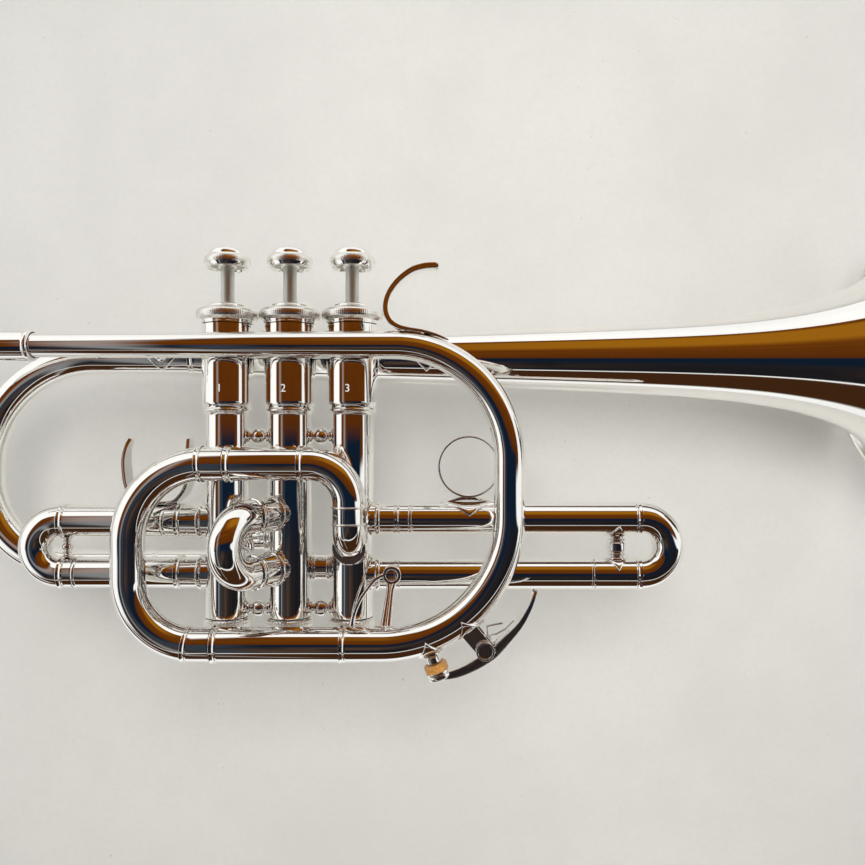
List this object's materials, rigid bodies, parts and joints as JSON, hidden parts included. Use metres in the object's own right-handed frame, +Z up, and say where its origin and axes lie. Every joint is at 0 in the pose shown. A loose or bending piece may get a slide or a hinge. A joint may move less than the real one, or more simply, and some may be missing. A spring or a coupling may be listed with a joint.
{
  "type": "cornet",
  "caption": "Silver-plated B-flat cornet with top-sprung piston valves, drawable slides, a water key and a wide rear bell bow, played through a mouthpiece set in its receiver.",
  "frame": {"origin": "centre of the middle valve's bottom cap, on its flat outer face", "axes": "+X towards the bell along its axis, +Z up the valves to their buttons, +Y to the player's left"},
  "size_m": [0.43, 0.119, 0.1939],
  "materials": {
    "silver_plate": "bright polished silver plate over brass, matt knurling on caps and buttons",
    "monel": "lapped monel",
    "nickel_stem": "fine turned nickel",
    "spring_steel": "drawn steel wire",
    "cork": "cut natural cork",
    "nylon": "moulded nylon"
  },
  "bodies": {
    "horn": {"mouthpiece_receiver": "silver_plate", "leadpipe": "silver_plate", "front_bow": "silver_plate", "main_slide_tube_lower": "silver_plate", "main_slide_tube_upper": "silver_plate", "entry_elbow": "silver_plate", "crossover_12": "silver_plate", "crossover_23": "silver_plate", "casing_brace_12_upper": "silver_plate", "casing_brace_12_lower": "silver_plate", "casing_brace_23_upper": "silver_plate", "casing_brace_23_lower": "silver_plate", "first_slide_tube_upper": "silver_plate", "first_slide_tube_lower": "silver_plate", "second_slide_tube_upper": "silver_plate", "second_slide_tube_lower": "silver_plate", "third_slide_tube_upper": "silver_plate", "third_slide_tube_lower": "silver_plate", "bell": "silver_plate", "bell_bow": "silver_plate", "bell_brace_front": "silver_plate", "bell_brace_rear": "silver_plate", "lower_leg_brace": "silver_plate", "finger_hook": "silver_plate", "water_key_nipple": "silver_plate", "water_key_saddle": "silver_plate", "water_key_screw": "spring_steel", "water_key_spring": "spring_steel", "casing_1": "silver_plate", "top_cap_1": "silver_plate", "bottom_cap_1": "silver_plate", "guide_1": "nylon", "spring_1": "spring_steel", "casing_2": "silver_plate", "top_cap_2": "silver_plate", "bottom_cap_2": "silver_plate", "guide_2": "nylon", "spring_2": "spring_steel", "casing_3": "silver_plate", "top_cap_3": "silver_plate", "bottom_cap_3": "silver_plate", "guide_3": "nylon", "spring_3": "spring_steel"},
    "valve_1": {"piston_1": "monel", "stem_1": "nickel_stem", "button_1": "silver_plate"},
    "valve_2": {"piston_2": "monel", "stem_2": "nickel_stem", "button_2": "silver_plate"},
    "valve_3": {"piston_3": "monel", "stem_3": "nickel_stem", "button_3": "silver_plate"},
    "main_slide_body": {"main_slide": "silver_plate"},
    "first_slide_body": {"first_slide": "silver_plate", "thumb_saddle": "silver_plate"},
    "second_slide_body": {"second_slide": "silver_plate"},
    "third_slide_body": {"third_slide": "silver_plate", "finger_ring": "silver_plate"},
    "water_key_body": {"water_key_lever": "silver_plate", "water_key_cork": "cork"}
  },
  "joints": [
    {"name": "valve_1_press", "type": "slide", "parent": "horn", "child": "valve_1", "axis": [0, 0, -1], "range_m": [0, 0.0145], "stiffness_N_per_m": 50, "springref_m": -0.03, "deforming": ["spring_1"]},
    {"name": "valve_2_press", "type": "slide", "parent": "horn", "child": "valve_2", "axis": [0, 0, -1], "range_m": [0, 0.0145], "stiffness_N_per_m": 50, "springref_m": -0.03, "deforming": ["spring_2"]},
    {"name": "valve_3_press", "type": "slide", "parent": "horn", "child": "valve_3", "axis": [0, 0, -1], "range_m": [0, 0.0145], "stiffness_N_per_m": 50, "springref_m": -0.03, "deforming": ["spring_3"]},
    {"name": "main_slide_draw", "type": "slide", "parent": "horn", "child": "main_slide_body", "axis": [-1, 0, 0], "range_m": [0, 0.02]},
    {"name": "first_slide_draw", "type": "slide", "parent": "horn", "child": "first_slide_body", "axis": [-1, 0, 0], "range_m": [0, 0.013]},
    {"name": "second_slide_draw", "type": "slide", "parent": "horn", "child": "second_slide_body", "axis": [-0.5446, -0.8387, 0], "range_m": [0, 0.009]},
    {"name": "third_slide_draw", "type": "slide", "parent": "horn", "child": "third_slide_body", "axis": [1, 0, 0], "range_m": [0, 0.014]},
    {"name": "water_key_lift", "type": "hinge", "parent": "horn", "child": "water_key_body", "pos_m": [0.0814, -0.0175, -0.003], "axis": [0, -1, 0], "range_deg": [0, 14], "stiffness_Nm_per_rad": 0.05}
  ]
}
